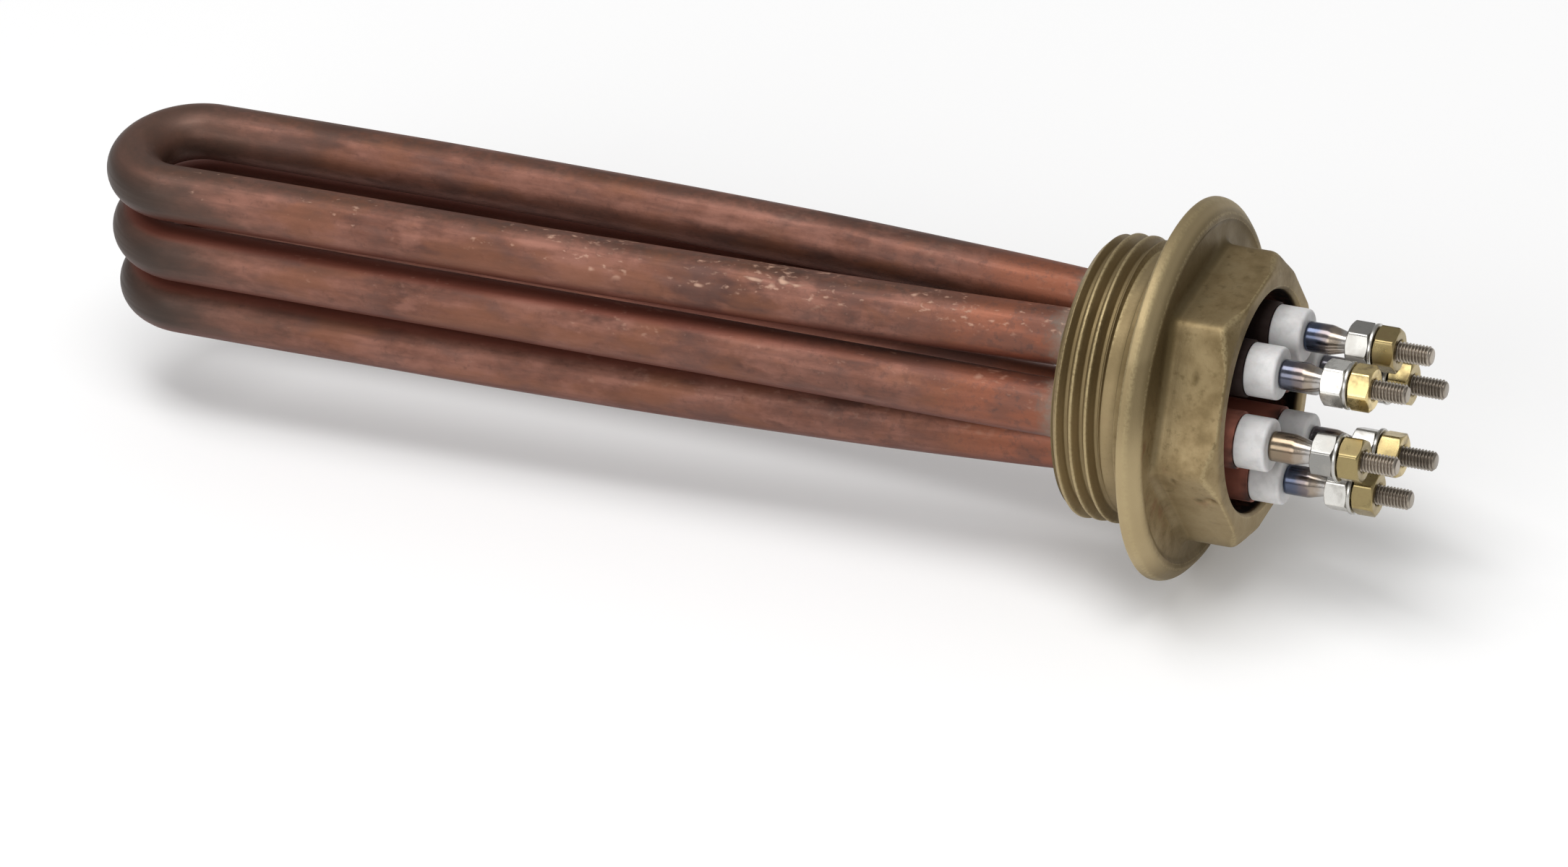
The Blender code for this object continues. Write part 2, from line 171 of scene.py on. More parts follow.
# From crest to root: share of the way that the crest's flat takes, share that the flank takes, and
# how much of the flank's form is a straight line
THREAD_FLAT = 0.14
THREAD_FLANK = 0.66
THREAD_STRAIGHTNESS = 0.55
SPIGOT_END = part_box("plug_body")[0].x
THREAD_END = SPIGOT_END + 7.4 * MM
GROOVE_END = THREAD_END + 2.4 * MM
GROOVE_RADIUS = 19.3 * MM
RUN_OUT_SLOPE = 2.4
LEAD_RADIUS = THREAD_CREST - 1.1 * MM
COLLAR_RADIUS = THREAD_CREST - 0.15 * MM
FLANGE_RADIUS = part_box("plug_body")[1].z
FLANGE_FACE = 3.2 * MM
RIM_START = FLANGE_FACE - 1.7 * MM
RIM_CREST = FLANGE_FACE + 0.05 * MM
CREST_OUTER = FLANGE_RADIUS - 2.0 * MM
CREST_INNER = FLANGE_RADIUS - 2.8 * MM
RECESS_RADIUS = FLANGE_RADIUS - 3.4 * MM
RECESS_DEPTH = 0.45 * MM
HOLLOW_TONE = 0.8
FLAT_ROWS = 26
FLAT_MARGIN = 0.05 * MM
PLUG_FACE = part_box("plug_body")[1].x
FLAT_RADIUS = 19.0 * MM
CORNER_SOFTNESS = 50
SHOULDER_EASE = 1.0 * MM
FACE_CIRCLE = 19.15 * MM
FACE_BEVEL = 0.45 * MM
HEXAGON_CHAMFER = math.tan(math.radians(30))
CHAMBER_RADIUS = 16.35 * MM
MOUTH_CHAMFER = 0.55 * MM
CHAMBER_FLOOR = SPIGOT_END + 8.0 * MM
LEG_RING = 10.4 * MM
LEG_HOLE = 4.55 * MM
LEG_ANGLES = np.radians(np.arange(6) * 60.0)
HOLE_RINGS = 3
SECTOR_STEPS = 12
SETBACK_LIMIT = 0.98
WELD_REACH = 0.002 * MM
FACE_WEIGHT = 60


def turns(around):
    """Angles about the X axis, counted from +Y towards +Z."""
    return 2 * np.pi * np.arange(around) / around


def corners_of(rows, around):
    """Profile rows of (x, radius), each a pair of numbers or of arrays, as one array.

    The result is (rows, around, 3): x, radius and a tone that marks edges, here zero.
    """
    result = np.zeros((len(rows), around, 3))
    for row, (x, radius) in zip(result, rows):
        row[:, 0] = x
        row[:, 1] = radius
    return result


def rounded(rows, setbacks, looped=False, steps=5):
    """Profile with each corner eased: a quadratic curve from a setback before it to one after.

    Where the setbacks at a side's two ends add up to more than its length, both shrink to fit it.
    The tone is +1 in the middle of a square outward corner and -1 in a square inward one.
    """
    reach = np.array(setbacks)[:, None]
    side = np.linalg.norm((np.roll(rows, -1, axis=0) - rows)[..., :2], axis=-1)
    wanted = np.maximum(reach + np.roll(reach, -1, axis=0), 1e-9)
    fit = np.minimum(1.0, SETBACK_LIMIT * side / wanted)
    reach = reach * np.minimum(fit, np.roll(fit, 1, axis=0))
    result = []
    for index, setback in enumerate(reach[..., None]):
        corner = rows[index]
        at_end = index in (0, len(rows) - 1) and not looped
        if setbacks[index] == 0.0 or at_end:
            result.append(corner)
            continue
        before = rows[index - 1][:, :2] - corner[:, :2]
        after = rows[(index + 1) % len(rows)][:, :2] - corner[:, :2]
        before /= np.linalg.norm(before, axis=1, keepdims=True)
        after /= np.linalg.norm(after, axis=1, keepdims=True)
        bend = before[:, 0] * after[:, 1] - before[:, 1] * after[:, 0]
        for share in np.linspace(0.0, 1.0, steps + 1):
            eased = corner.copy()
            eased[:, :2] += setback * ((1 - share) ** 2 * before + share ** 2 * after)
            eased[:, 2] = bend * 4 * share * (1 - share)
            result.append(eased)
    return np.array(result)


def turned(rows):
    """Points of a turned body: each row of the profile carried round the X axis."""
    angle = turns(rows.shape[1])
    points = np.empty(rows.shape)
    points[..., 0] = rows[..., 0]
    points[..., 1] = rows[..., 1] * np.cos(angle)
    points[..., 2] = rows[..., 1] * np.sin(angle)
    return points


def hexagon(flat, around, softness):
    """Radius of a hexagon at each angle, its corners at multiples of 60 degrees, softly rounded.

    One over the radius is a power mean of the six sides' cosines, which rounds the corners.
    """
    angle = turns(around)[:, None]
    sides = np.radians(30 + 60 * np.arange(6))
    reach = np.clip(np.cos(angle - sides), 0.0, None) / flat
    return 1 / (reach ** softness).sum(axis=1) ** (1 / softness)


def thread_rows(start, end, crest, root, pitch, phase, around, rows_per_pitch):
    """Rows of a right-hand thread: the radius falls from crest to root with the share of a turn.

    At x and angle a the share is (x - phase) / pitch - a / (2 pi), measured from the nearest whole
    and doubled, so 0 is a crest and 1 a root. Between its flat and its root the flank is a straight
    line blended with a smooth step.
    """
    count = int(round((end - start) / pitch * rows_per_pitch)) + 1
    x = np.linspace(start, end, count)[:, None]
    share = (x - phase) / pitch - turns(around)[None, :] / (2 * np.pi)
    share = 2 * np.abs(share - np.round(share))
    flank = np.clip((share - THREAD_FLAT) / THREAD_FLANK, 0.0, 1.0)
    smooth = flank * flank * (3 - 2 * flank)
    depth = THREAD_STRAIGHTNESS * flank + (1 - THREAD_STRAIGHTNESS) * smooth
    rows = np.empty((count, around, 3))
    rows[..., 0] = x
    rows[..., 1] = crest - (crest - root) * depth
    rows[..., 2] = 1 - 2 * depth
    return rows


def mesh_of(name, grids):
    """One closed mesh from grids of (points, tone, rows_looped), each closed around.

    Grids are merged where they meet, their poles are closed, and the faces are turned outwards.
    """
    points, tones, faces, first = [], [], [], 0
    for grid, tone, looped in grids:
        rows, around = grid.shape[:2]
        index = first + np.arange(rows * around).reshape(rows, around)
        here = index if looped else index[:-1]
        there = np.roll(index, -1, axis=0)[:len(here)]
        quads = np.stack([here, np.roll(here, -1, 1), np.roll(there, -1, 1), there], axis=-1)
        faces.append(quads.reshape(-1, 4))
        points.append(grid.reshape(-1, 3))
        tones.append(tone.ravel())
        first += rows * around
    mesh = bpy.data.meshes.new(name)
    mesh.from_pydata(np.concatenate(points).tolist(), [], np.concatenate(faces).tolist())
    attribute = mesh.attributes.new("tone", "FLOAT", "POINT")
    attribute.data.foreach_set("value", np.concatenate(tones).astype(np.float32))
    bm = bmesh.new()
    bm.from_mesh(mesh)
    bmesh.ops.remove_doubles(bm, verts=bm.verts, dist=WELD_REACH)
    bmesh.ops.recalc_face_normals(bm, faces=bm.faces)
    bm.to_mesh(mesh)
    bm.free()
    mesh.shade_smooth()
    return mesh


def add_piece(name, mesh, material, node):
    """A finished piece: it stands for a CAD node, which it hides, and rides on the root."""
    mesh.materials.append(material)
    piece = bpy.data.objects.new(name, mesh)
    bpy.context.scene.collection.objects.link(piece)
    shading = piece.modifiers.new("flat_faces", "WEIGHTED_NORMAL")
    shading.weight = FACE_WEIGHT
    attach(piece, "root")
    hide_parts(node)
    return piece


def material_of(name, metallic, roughness):
    """A new material with its tree and its Principled shader."""
    material = bpy.data.materials.new(name)
    material.use_nodes = True
    tree = material.node_tree
    shader = tree.nodes["Principled BSDF"]
    shader.inputs["Metallic"].default_value = metallic
    shader.inputs["Roughness"].default_value = roughness
    return material, tree, shader


def object_millimetres(tree, stretch=(1.0, 1.0, 1.0), shift=(0.0, 0.0, 0.0)):
    """Object coordinates in millimetres, stretched and shifted."""
    source = tree.nodes.new("ShaderNodeTexCoord").outputs["Object"]
    return in_millimetres(source, stretch, shift)


def attribute_of(tree, name, output):
    """One of the mesh's own attributes."""
    node = tree.nodes.new("ShaderNodeAttribute")
    node.attribute_name = name
    return node.outputs[output]


# The functions below add their nodes to the tree of the value that they are given
def in_millimetres(source, stretch, shift):
    """A vector in metres turned to millimetres, stretched and shifted."""
    tree = source.id_data
    mapping = tree.nodes.new("ShaderNodeMapping")
    mapping.inputs["Scale"].default_value = [side / MM for side in stretch]
    mapping.inputs["Location"].default_value = shift
    tree.links.new(source, mapping.inputs["Vector"])
    return mapping.outputs["Vector"]


def noise(place, per_mm, detail, roughness=0.55):
    """Noise from 0 to 1 that repeats about per_mm times in each millimetre."""
    tree = place.id_data
    node = tree.nodes.new("ShaderNodeTexNoise")
    node.inputs["Scale"].default_value = per_mm
    node.inputs["Detail"].default_value = detail
    node.inputs["Roughness"].default_value = roughness
    tree.links.new(place, node.inputs["Vector"])
    return node.outputs[0]


def ranged(value, low, high, to_low=0.0, to_high=1.0):
    """A value's range turned smoothly into another one, and held at its ends."""
    tree = value.id_data
    node = tree.nodes.new("ShaderNodeMapRange")
    node.interpolation_type = "SMOOTHSTEP"
    node.inputs["From Min"].default_value = low
    node.inputs["From Max"].default_value = high
    node.inputs["To Min"].default_value = to_low
    node.inputs["To Max"].default_value = to_high
    tree.links.new(value, node.inputs["Value"])
    return node.outputs["Result"]


def together(operation, first, second):
    """Two values, or a value and a number, put together by one operation."""
    tree = first.id_data
    node = tree.nodes.new("ShaderNodeMath")
    node.operation = operation
    for socket, value in zip(node.inputs, (first, second)):
        if isinstance(value, (int, float)):
            socket.default_value = value
        else:
            tree.links.new(value, socket)
    return node.outputs[0]


def times(first, second):
    """The product of two values, or of a value and a number."""
    return together("MULTIPLY", first, second)


def plus(first, second):
    """The sum of two values, or of a value and a number."""
    return together("ADD", first, second)


def painted(share, under, over):
    """A colour laid over another by a share; each colour is three numbers or a socket."""
    tree = share.id_data
    node = tree.nodes.new("ShaderNodeMix")
    node.data_type = "RGBA"
    tree.links.new(share, node.inputs[0])
    for socket, colour in ((node.inputs[6], under), (node.inputs[7], over)):
        if isinstance(colour, tuple):
            socket.default_value = (*colour, 1.0)
        else:
            tree.links.new(colour, socket)
    return node.outputs[2]


def relief(shader, height, depth_mm):
    """Bump from a height of 0 to 1."""
    tree = height.id_data
    bump = tree.nodes.new("ShaderNodeBump")
    bump.inputs["Strength"].default_value = 1.0
    bump.inputs["Distance"].default_value = depth_mm * MM
    tree.links.new(height, bump.inputs["Height"])
    tree.links.new(bump.outputs["Normal"], shader.inputs["Normal"])


def axis_part(vector, part):
    """One part, X, Y or Z, of a vector."""
    tree = vector.id_data
    node = tree.nodes.new("ShaderNodeSeparateXYZ")
    tree.links.new(vector, node.inputs[0])
    return node.outputs[part]


def from_axis(tree):
    """Distance from the heater's axis in millimetres."""
    node = tree.nodes.new("ShaderNodeVectorMath")
    node.operation = "LENGTH"
    tree.links.new(object_millimetres(tree, (0.0, 1.0, 1.0)), node.inputs[0])
    return node.outputs["Value"]


OLIVE_BRASS = (0.285, 0.208, 0.104)
PALE_BRASS = (0.370, 0.285, 0.155)
LIT_RIM_BRASS = (0.430, 0.335, 0.185)
BROWN_BRASS = (0.120, 0.084, 0.034)
BARE_BRASS = (0.480, 0.385, 0.210)
REDDENED_BRASS = (0.270, 0.150, 0.080)
CHAMBER_SHADE_BROWN = (0.130, 0.056, 0.034)
CHAMBER_SHADE_BLACK = (0.008, 0.006, 0.005)


def tarnished(tree, clouds, mottle):
    """Olive brass with pale and brown clouds, brown mottling and a few red stains."""
    colour = painted(ranged(clouds, 0.35, 0.7), OLIVE_BRASS, PALE_BRASS)
    colour = painted(ranged(clouds, 0.50, 0.26, 0.0, 0.45), colour, BROWN_BRASS)
    colour = painted(ranged(mottle, 0.52, 0.72, 0.0, 0.5), colour, BROWN_BRASS)
    stains = noise(object_millimetres(tree, shift=(40.0, 7.0, 3.0)), 0.22, 3.0)
    return painted(ranged(stains, 0.60, 0.74, 0.0, 0.6), colour, REDDENED_BRASS)


def painted_light_and_shade_by_place(colour, x, z, radius):
    """Painted light: the thread paler, less so at its bottom, the hexagon's lower sides paler, and
    the flange's outer band palest.

    Painted shade: browner high up, in the recess of the flange's face and under the flange. The
    spigot behind the flange is a little browner too.
    """
    colour = painted(ranged(x, 0.2, -0.4, 0.0, 0.15), colour, BROWN_BRASS)
    # Painted light: the thread paler, less so on its lower side
    threaded = times(ranged(x, -2.0, -4.5, 0.0, 0.8), ranged(z, -15.0, -4.0, 0.3, 1.0))
    colour = painted(threaded, colour, PALE_BRASS)
    # Painted light on the flange's outer band
    colour = painted(ranged(radius, 25.0, 26.8), colour, LIT_RIM_BRASS)
    # Painted shade: browner on the upper side
    upper = times(ranged(z, 4.0, 13.0), ranged(z, 18.6, 17.0, 0.25, 0.5))
    colour = painted(upper, colour, BROWN_BRASS)
    # Painted light: paler on the hexagon's lower sides
    lower = times(ranged(z, -1.0, -15.0), ranged(x, 3.4, 4.0, 0.0, 0.6))
    colour = painted(lower, colour, PALE_BRASS)
    # Painted shade: browner in the upper part of the recess in the flange's face
    recess = times(ranged(x, 2.2, 2.8), ranged(x, 4.2, 3.4))
    recess = times(recess, ranged(radius, 27.4, 25.8))
    recess = times(recess, ranged(z, 6.0, 16.0, 0.0, 0.75))
    colour = painted(recess, colour, BROWN_BRASS)
    # Painted shade: browner under the flange
    beneath = times(ranged(radius, 19.5, 22.0), ranged(z, -13.0, -22.0, 0.0, 0.65))
    return painted(beneath, colour, BROWN_BRASS)


def edged(colour, tone, grain):
    """Brown in hollows and dents, where the tone is below 0, and worn bare on edges, above 0."""
    hollow = plus(ranged(tone, 0.0, -1.0), times(ranged(grain, 0.5, 0.75), 0.25))
    colour = painted(ranged(hollow, 0.1, 1.1, 0.0, 0.4), colour, BROWN_BRASS)
    colour = painted(ranged(tone, -1.0, -1.8, 0.0, 0.7), colour, BROWN_BRASS)
    worn = times(ranged(tone, 0.25, 1.0), ranged(grain, 0.3, 0.6))
    return painted(ranged(worn, 0.0, 0.9, 0.0, 0.5), colour, BARE_BRASS)


def plug_brass():
    """Dulled brass, tarnished and edged, with painted light and shade by place and faint turning
    marks round the axis.

    The chamber is painted with shade inside: red-brown, and near black towards its mouth.
    """
    material, tree, shader = material_of("plug_brass_dull", 0.8, 0.5)
    place = object_millimetres(tree)
    x = axis_part(place, "X")
    z = axis_part(place, "Z")
    radius = from_axis(tree)
    clouds = noise(place, 0.16, 5.0, 0.6)
    mottle = noise(place, 0.7, 5.0, 0.65)
    grain = noise(place, 1.9, 4.0, 0.6)
    turning = noise(object_millimetres(tree, (9.0, 0.12, 0.12)), 1.0, 3.0)
    colour = tarnished(tree, clouds, mottle)
    colour = painted_light_and_shade_by_place(colour, x, z, radius)
    colour = edged(colour, attribute_of(tree, "tone", "Fac"), grain)
    # Painted shade inside the chamber: red-brown, near black towards its mouth
    bore = CHAMBER_RADIUS / MM
    inside = times(ranged(x, 12.2, 11.2), ranged(x, -12.6, -12.0))
    inside = times(inside, ranged(radius, bore + 0.4, bore + 0.1))
    chamber_shade_depth = plus(x, times(mottle, 12.0))
    chamber_shade = painted(ranged(chamber_shade_depth, 12.0, 17.0), CHAMBER_SHADE_BROWN, CHAMBER_SHADE_BLACK)
    tree.links.new(painted(inside, colour, chamber_shade), shader.inputs["Base Color"])
    skin = ranged(clouds, 0.3, 0.7, 0.60, 0.48)
    rough = together("MAXIMUM", skin, times(inside, 0.8))
    tree.links.new(rough, shader.inputs["Roughness"])
    relief(shader, plus(grain, times(turning, 0.35)), 0.035)
    return material


def drilled_face(x, radius):
    """A round face with the six leg holes, as six sectors; each is a grid from hole to border.

    A sector's border is its arc and two straight sides that meet on the axis, and each ring of the
    grid is a share of the way from the hole's circle to that border.
    """
    half = np.pi / 6
    arc = np.linspace(-half, half, PLUG_AROUND // 6 + 1)
    side = np.linspace(1.0, 0.0, SECTOR_STEPS)[1:]
    far = radius * np.concatenate([np.exp(1j * arc), side * np.exp(1j * half),
                                   side[-2::-1] * np.exp(-1j * half)])
    toward = np.angle(far - LEG_RING)
    near = LEG_RING + LEG_HOLE * np.exp(1j * toward)
    share = np.linspace(0.0, 1.0, HOLE_RINGS + 1)[:, None]
    flat = near + (far - near) * share
    grids = []
    for angle in LEG_ANGLES:
        placed = flat * np.exp(1j * angle)
        grids.append(np.stack([np.full(placed.shape, x), placed.real, placed.imag], axis=-1))
    return grids


# Dents left in the hexagon by a wrench: place along X, angle, half length, half width, depth
DENTS = (
    (11.4 * MM, math.radians(196), 1.5 * MM, 0.5 * MM, 0.80 * MM),
    (8.9 * MM, math.radians(198), 0.8 * MM, 0.5 * MM, 0.20 * MM),
    (7.7 * MM, math.radians(140), 0.5 * MM, 0.9 * MM, 0.15 * MM),
    (6.0 * MM, math.radians(184), 0.4 * MM, 0.4 * MM, 0.20 * MM),
    (9.0 * MM, math.radians(30), 1.1 * MM, 0.5 * MM, 0.25 * MM),
    (7.0 * MM, math.radians(265), 0.6 * MM, 0.7 * MM, 0.20 * MM),
)
DENT_TONE = 2.0


def dented(rows):
    """The rows with each dent pressed in as a Gaussian hollow, deepest in its middle."""
    result = rows.copy()
    angle = turns(rows.shape[1])
    for x, turn, length, width, depth in DENTS:
        off = (angle - turn + np.pi) % (2 * np.pi) - np.pi
        distance = ((rows[..., 0] - x) / length) ** 2 + (FLAT_RADIUS * off / width) ** 2
        hollow = np.exp(-distance)
        result[..., 1] -= depth * hollow
        result[..., 2] -= DENT_TONE * hollow
    return result


def plug_thread():
    """Rows of the pipe thread, cut down by the slopes of its lead chamfer and of its run-out."""
    thread = thread_rows(SPIGOT_END, THREAD_END, THREAD_CREST, THREAD_ROOT, THREAD_PITCH,
                         CREST_AT_FRONT - THREAD_PITCH / 2, PLUG_AROUND, THREAD_ROWS_PER_PITCH)
    lead = LEAD_RADIUS + (thread[..., 0] - SPIGOT_END)
    run_out = GROOVE_RADIUS + (THREAD_END - thread[..., 0]) * RUN_OUT_SLOPE
    thread[..., 1] = np.minimum(thread[..., 1], np.minimum(lead, run_out))
    thread[0, :, 1] = LEAD_RADIUS
    thread[0, :, 2] = 0.0
    return thread


def plug_flange(hexed, flat_end):
    """Rows from the groove over collar and flange, into its face's recess, to the flats' end."""
    rows = corners_of([
        (THREAD_END, GROOVE_RADIUS),
        (GROOVE_END, GROOVE_RADIUS),
        (GROOVE_END, COLLAR_RADIUS),
        (0.0, COLLAR_RADIUS),
        (0.0, FLANGE_RADIUS),
        (RIM_START, FLANGE_RADIUS),
        (RIM_CREST, CREST_OUTER),
        (RIM_CREST, CREST_INNER),
        (FLANGE_FACE - RECESS_DEPTH, RECESS_RADIUS),
        (FLANGE_FACE - RECESS_DEPTH / 2, hexed),
        (flat_end, hexed),
    ], PLUG_AROUND)
    easing = [0.0, 0.5, 0.25, 0.2, 0.5, 1.1, 1.1, 0.35, 0.6, 1.5, 0.0]
    rows = rounded(rows, [setback * MM for setback in easing])
    # Groove and collar count as a hollow behind the flange
    rows[rows[..., 0] < -0.1 * MM, 2] -= HOLLOW_TONE
    return rows


def plug_mouth(hexed, flat_end, shoulder, face_edge):
    """Rows from the flats' end over the chamfered corners and the face into the chamber."""
    rows = corners_of([
        (flat_end, hexed),
        (shoulder, hexed),
        (PLUG_FACE, face_edge),
        (PLUG_FACE, CHAMBER_RADIUS + MOUTH_CHAMFER),
        (PLUG_FACE - MOUTH_CHAMFER, CHAMBER_RADIUS),
        (CHAMBER_FLOOR, CHAMBER_RADIUS),
    ], PLUG_AROUND)
    easing = [0.0, SHOULDER_EASE / MM, 0.6, 0.25, 0.25, 0.0]
    return rounded(rows, [setback * MM for setback in easing])


def plug_mesh():
    """Outline from the spigot's end over thread, flange and hexagon to the chamber's floor.

    A cone cuts the hexagon's corners: the shoulder lies back from the face by the radius that is
    cut off times the cone's slope. Two drilled faces and the holes' walls close the outline.
    """
    hexed = hexagon(FLAT_RADIUS, PLUG_AROUND, CORNER_SOFTNESS)
    face_edge = np.minimum(hexed - FACE_BEVEL, FACE_CIRCLE)
    shoulder = PLUG_FACE - (hexed - face_edge) * HEXAGON_CHAMFER
    flat_end = shoulder - SHOULDER_EASE - FLAT_MARGIN
    flange = plug_flange(hexed, flat_end)
    share = np.linspace(0.0, 1.0, FLAT_ROWS)[1:-1, None, None]
    flats = flange[-2] + (flange[-1] - flange[-2]) * share
    flats[..., 2] = 0.0
    mouth = plug_mouth(hexed, flat_end, shoulder, face_edge)
    rows = np.concatenate([plug_thread(), flange[1:-1], dented(flats), mouth[1:]])
    grids = [(turned(rows), rows[..., 2], False)]

    back = drilled_face(SPIGOT_END, LEAD_RADIUS)
    floor = drilled_face(CHAMBER_FLOOR, CHAMBER_RADIUS)
    for behind, before in zip(back, floor):
        wall = np.stack([behind[0], before[0]])
        for grid in (behind, before, wall):
            grids.append((grid, np.zeros(grid.shape[:2]), False))
    return mesh_of("plug", grids)


add_piece("plug", plug_mesh(), plug_brass(), "plug_body")

# Copper sheaths.
# Three drawn tubes, each bent to a hairpin and its legs set over to the plug's holes, then swaged
# on the powder inside. The copper is browned by heat, redder at the plug, with specks of scale.
TUBE_RADIUS = (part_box("sheath_middle")[1].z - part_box("sheath_middle")[0].z) / 2
TUBE_BORE = TUBE_RADIUS - 0.9 * MM
TUBE_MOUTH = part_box("sheath_top")[1].x
TIP_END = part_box("sheath_top")[0].x
SET_START = SPIGOT_END - 3.0 * MM
ROW_STEP = 9.9 * MM
# Each hairpin: angle of its rear leg's hole, half the distance between its legs, height
HAIRPINS = {
    "top": (LEG_ANGLES[1], 8.8 * MM, ROW_STEP),
    "middle": (LEG_ANGLES[0], 9.8 * MM, 0.0),
    "bottom": (LEG_ANGLES[5], 8.8 * MM, -ROW_STEP),
}
TUBE_AROUND = 44
ROWS_IN_PLUG = 20
ROWS_ON_LEG = 94
ROWS_ROUND_TIP = 46
MOUTH_BEVEL = 0.12 * MM
# Waves of the tubes' skin: depth, lobes round the tube, and length along it for each radian, where
# a minus turns them round the other way; all in millimetres, and sunk so that few stand proud
SKIN_SINK = 0.03
SKIN_WAVES = (
    (0.020, 2, 9.3),
    (0.012, 3, -5.1),
    (0.020, 1, 14.0),
)


def hairpin_line(hole_angle, half_gap, height):
    """Centre line from the rear leg's mouth round the tip to the front leg's mouth.

    From hole to row the leg is sprung over by one less the cube of what is left of its length,
    and the tip is half a circle.
    """
    bend_start = TIP_END + TUBE_RADIUS + half_gap
    x = np.concatenate([
        np.linspace(TUBE_MOUTH, SET_START, ROWS_IN_PLUG),
        np.linspace(SET_START, bend_start, ROWS_ON_LEG)[1:],
    ])
    share = np.clip((SET_START - x) / (SET_START - bend_start), 0.0, 1.0)
    blend = 1 - (1 - share) ** 3
    y = LEG_RING * np.cos(hole_angle) * (1 - blend) + half_gap * blend
    z = LEG_RING * np.sin(hole_angle) * (1 - blend) + height * blend
    rear = np.stack([x, y, z], axis=1)
    angle = np.linspace(0.0, np.pi, ROWS_ROUND_TIP)[1:-1]
    tip = np.stack([bend_start - half_gap * np.sin(angle), half_gap * np.cos(angle),
                    np.full(angle.shape, height)], axis=1)
    front = rear[::-1] * (1.0, -1.0, 1.0)
    return np.concatenate([rear, tip, front])


def across(line):
    """Distance along a line, and two directions square to it: sideways and upward."""
    along = np.gradient(line, axis=0)
    along /= np.linalg.norm(along, axis=1, keepdims=True)
    sideways = np.cross((0.0, 0.0, 1.0), along)
    sideways /= np.linalg.norm(sideways, axis=1, keepdims=True)
    steps = np.linalg.norm(np.diff(line, axis=0), axis=1)
    distance = np.concatenate([[0.0], np.cumsum(steps)])
    return distance, sideways, np.cross(along, sideways)


def sheath_mesh(name, line, seed):
    """Tube round a line, its skin waved a little by drawing and swaging.

    Each wave adds its depth times the sine of its lobes times the angle, plus the distance along the
    tube over its length, plus a shift of its own. Each vertex also keeps where it would lie if the
    tube were straight: distance, side and height.
    """
    distance, sideways, upward = across(line)
    angle = turns(TUBE_AROUND)[None, :]
    length = distance[:, None] / MM
    wave = sum(depth * np.sin(lobes * angle + length / pitch + number * seed)
               for number, (depth, lobes, pitch) in enumerate(SKIN_WAVES, start=1))
    outer = TUBE_RADIUS + (wave - SKIN_SINK) * MM
    grids, straight = [], []
    for radius in (outer, np.full(outer.shape, TUBE_BORE)):
        side = radius * np.cos(angle)
        height = radius * np.sin(angle)
        points = line[:, None] + side[..., None] * sideways[:, None]
        grids.append(points + height[..., None] * upward[:, None])
        lengths = np.broadcast_to(distance[:, None], side.shape)
        straight.append(np.stack([lengths, side, height], axis=-1))
    grids[0][[0, -1], :, 0] -= MOUTH_BEVEL
    points = np.concatenate([grids[0], grids[1][::-1]])
    straight = np.concatenate([straight[0], straight[1][::-1]])
    mesh = bpy.data.meshes.new(name)
    rows, around = points.shape[:2]
    index = np.arange(rows * around).reshape(rows, around)
    beside = np.roll(index, -1, 1)
    quads = np.stack([index, beside, np.roll(beside, -1, 0), np.roll(index, -1, 0)], axis=-1)
    mesh.from_pydata(points.reshape(-1, 3).tolist(), [], quads.reshape(-1, 4).tolist())
    kept = mesh.attributes.new("straightened", "FLOAT_VECTOR", "POINT")
    kept.data.foreach_set("vector", straight.astype(np.float32).ravel())
    bm = bmesh.new()
    bm.from_mesh(mesh)
    bmesh.ops.recalc_face_normals(bm, faces=bm.faces)
    bm.to_mesh(mesh)
    bm.free()
    mesh.shade_smooth()
    return mesh


COPPER_GROUND = (0.175, 0.070, 0.046)
COPPER_PALE = (0.275, 0.122, 0.087)
COPPER_DARK = (0.068, 0.030, 0.023)
COPPER_RUST = (0.215, 0.082, 0.042)
COPPER_RED = (0.285, 0.092, 0.047)
COPPER_MOUTH = (0.320, 0.100, 0.062)
BROWN_FILM = (0.118, 0.058, 0.045)
OLIVE_FILM_AND_SHADE = (0.100, 0.060, 0.044)
BEND_EDGE_SHADE = (0.040, 0.030, 0.024)
DEEP_RED_SHADE = (0.112, 0.028, 0.017)
WINE_RED_LIGHT = (0.270, 0.082, 0.054)
FLUX_FILM = (0.230, 0.185, 0.145)
PALE_SCALE = (0.68, 0.43, 0.31)
MOUTH_SHADE_BLACK = (0.007, 0.005, 0.004)


def tube_patterns(tree, seed):
    """A tube's places and noises, all laid along it as if it were straight and shifted by its seed.

    Streaks are drawn far out along the tube, clouds, tints, blotches and crumbs a little.
    """
    along = attribute_of(tree, "straightened", "Vector")
    shift = (seed * 31.0, seed * 5.0, seed * 9.0)
    place = in_millimetres(along, (1.0, 1.0, 1.0), shift)
    drawn = in_millimetres(along, (0.07, 1.0, 1.0), shift)
    drifting = in_millimetres(along, (0.4, 1.0, 1.0), shift)
    crumbled = in_millimetres(along, (0.6, 1.0, 1.0), shift)
    blotched = in_millimetres(along, (0.5, 1.0, 1.0), (9.0, 0.0, seed))
    tinted = in_millimetres(along, (0.5, 1.0, 1.0), (3.0, seed, 0.0))
    return SimpleNamespace(
        x=axis_part(object_millimetres(tree), "X"),
        length=axis_part(along, "X"),
        side=axis_part(along, "Y"),
        height=axis_part(along, "Z"),
        clouds=noise(drifting, 0.17, 5.0, 0.62),
        streaks=noise(drawn, 1.1, 5.0, 0.6),
        mottle=noise(place, 0.75, 6.0, 0.7),
        grain=noise(place, 3.2, 3.0, 0.6),
        blotches=noise(blotched, 0.24, 4.0, 0.58),
        tints=noise(tinted, 0.16, 3.0, 0.6),
        patches=noise(place, 0.08, 2.0, 0.5),
        fine_crumbs=noise(crumbled, 1.2, 2.0, 0.5),
        coarse_crumbs=noise(crumbled, 0.6, 1.0, 0.4),
    )


